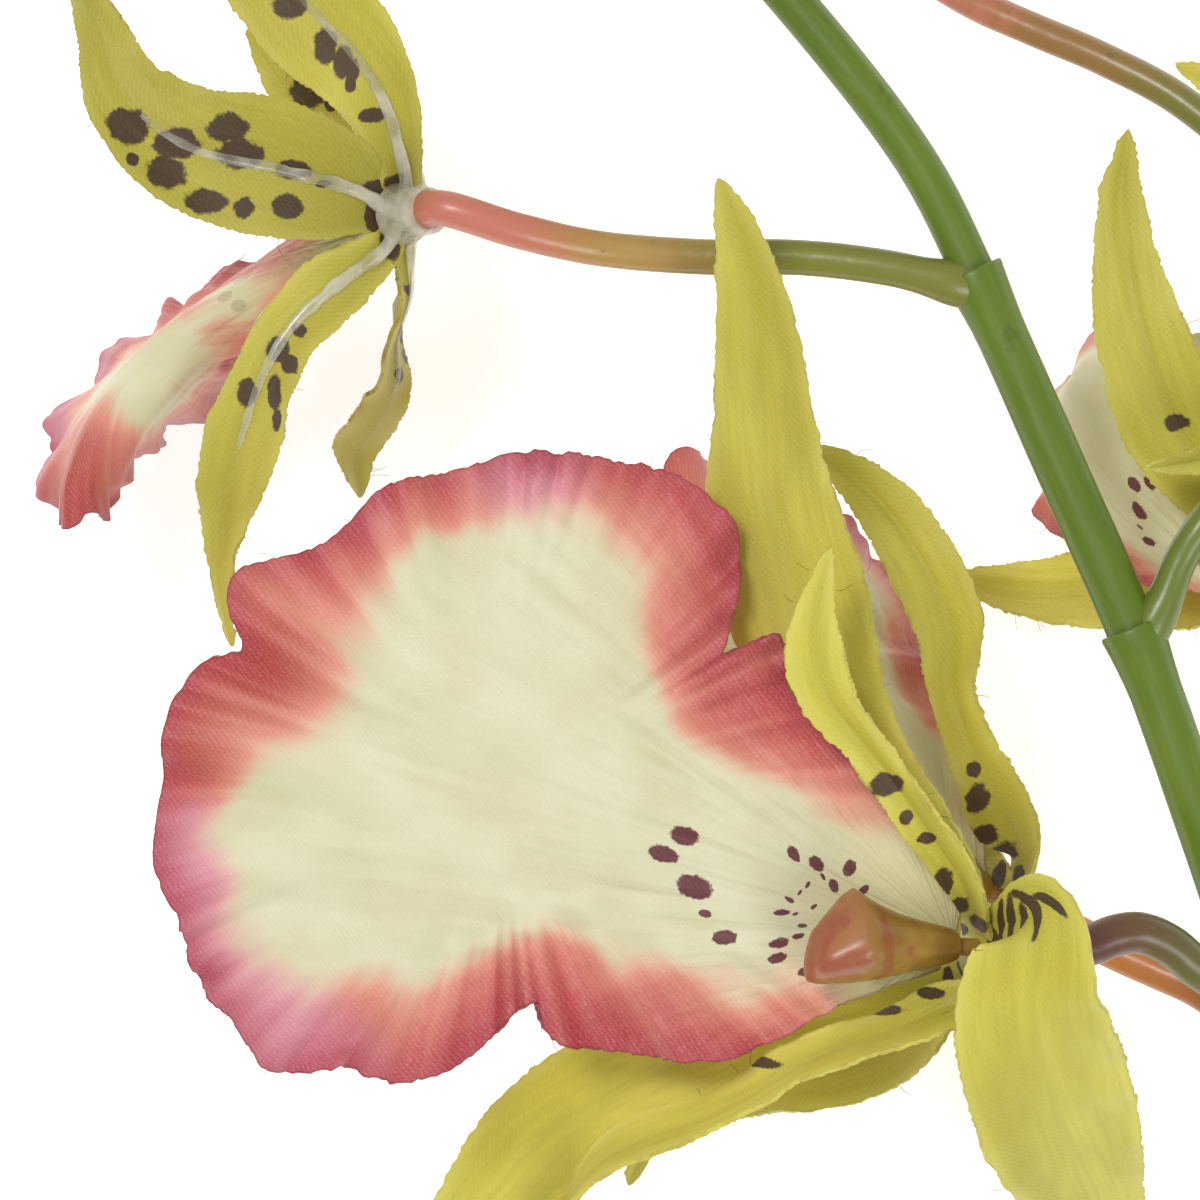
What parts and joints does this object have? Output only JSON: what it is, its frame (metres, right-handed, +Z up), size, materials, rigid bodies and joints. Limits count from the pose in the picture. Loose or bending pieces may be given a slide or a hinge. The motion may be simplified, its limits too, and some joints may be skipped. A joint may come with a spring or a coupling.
{
  "type": "spider orchid stem",
  "caption": "Artificial cut orchid spray lying down: jointed green stem, spidery yellow blooms with large pink-edged lips, and closed buds at the tip.",
  "frame": {"origin": "middle of the outer box, on the surface the stem lies on", "axes": "+Y along the stem towards its growing tip, +Z up from the surface"},
  "size_m": [0.2504, 0.557, 0.0722],
  "materials": {
    "petal": "yellow satin weave with dark brown spots",
    "lip": "cream satin weave with a coral pink edge",
    "column": "ochre with coral blotches",
    "clear_plastic": "clear, slightly milky",
    "stem": "satin green",
    "pedicel": "satin olive to salmon pink",
    "bud": "yellow-green with a soft weave",
    "wire": "plain drawn wire"
  },
  "bodies": {
    "root": {"stem_stalk": "stem", "stem_segment_1": "stem", "stem_segment_2": "stem", "stem_segment_3": "stem", "stem_segment_4": "stem", "stem_segment_5": "stem", "stem_segment_6": "stem", "stem_segment_7": "stem", "stem_segment_8": "stem", "stem_wire_core": "wire", "bloom_1_pedicel": "pedicel", "bloom_1_pedicel_wire": "wire", "bloom_1_rib_frame": "clear_plastic", "bloom_1_tepals": "petal", "bloom_1_lip": "lip", "bloom_1_column": "column", "bloom_2_pedicel": "pedicel", "bloom_2_pedicel_wire": "wire", "bloom_2_rib_frame": "clear_plastic", "bloom_2_tepals": "petal", "bloom_2_lip": "lip", "bloom_2_column": "column", "bloom_3_pedicel": "pedicel", "bloom_3_pedicel_wire": "wire", "bloom_3_rib_frame": "clear_plastic", "bloom_3_tepals": "petal", "bloom_3_lip": "lip", "bloom_3_column": "column", "bloom_4_pedicel": "pedicel", "bloom_4_pedicel_wire": "wire", "bloom_4_rib_frame": "clear_plastic", "bloom_4_tepals": "petal", "bloom_4_lip": "lip", "bloom_4_column": "column", "bloom_5_pedicel": "pedicel", "bloom_5_pedicel_wire": "wire", "bloom_5_rib_frame": "clear_plastic", "bloom_5_tepals": "petal", "bloom_5_lip": "lip", "bloom_5_column": "column", "bud_1": "bud", "bud_2": "bud", "bud_3": "bud", "bud_4": "bud"}
  },
  "joints": []
}
